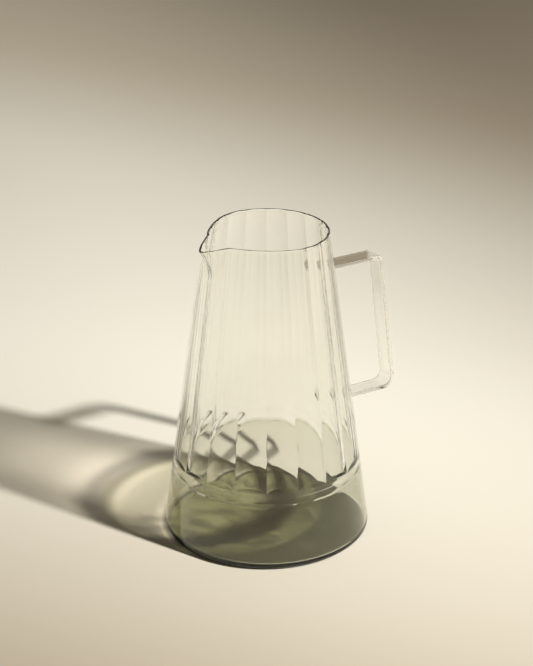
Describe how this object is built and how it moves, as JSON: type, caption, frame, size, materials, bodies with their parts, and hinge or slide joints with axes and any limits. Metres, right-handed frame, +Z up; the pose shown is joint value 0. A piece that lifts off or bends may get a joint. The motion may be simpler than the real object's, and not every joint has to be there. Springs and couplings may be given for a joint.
{
  "type": "carafe",
  "caption": "Tapered clear glass pitcher with inner flutes, a pulled spout, a squared strap handle and a smooth tinted base.",
  "frame": {"origin": "centre of the flat resting face", "axes": "+Z up, +X towards the handle, -X towards the spout"},
  "size_m": [0.1792, 0.1436, 0.22],
  "materials": {
    "clear_glass": "fire-polished",
    "tinted_glass": "fire-polished",
    "handle_glass": "fire-polished"
  },
  "bodies": {
    "root": {"fluted_body": "clear_glass", "tinted_base": "tinted_glass", "handle": "handle_glass"}
  },
  "joints": []
}
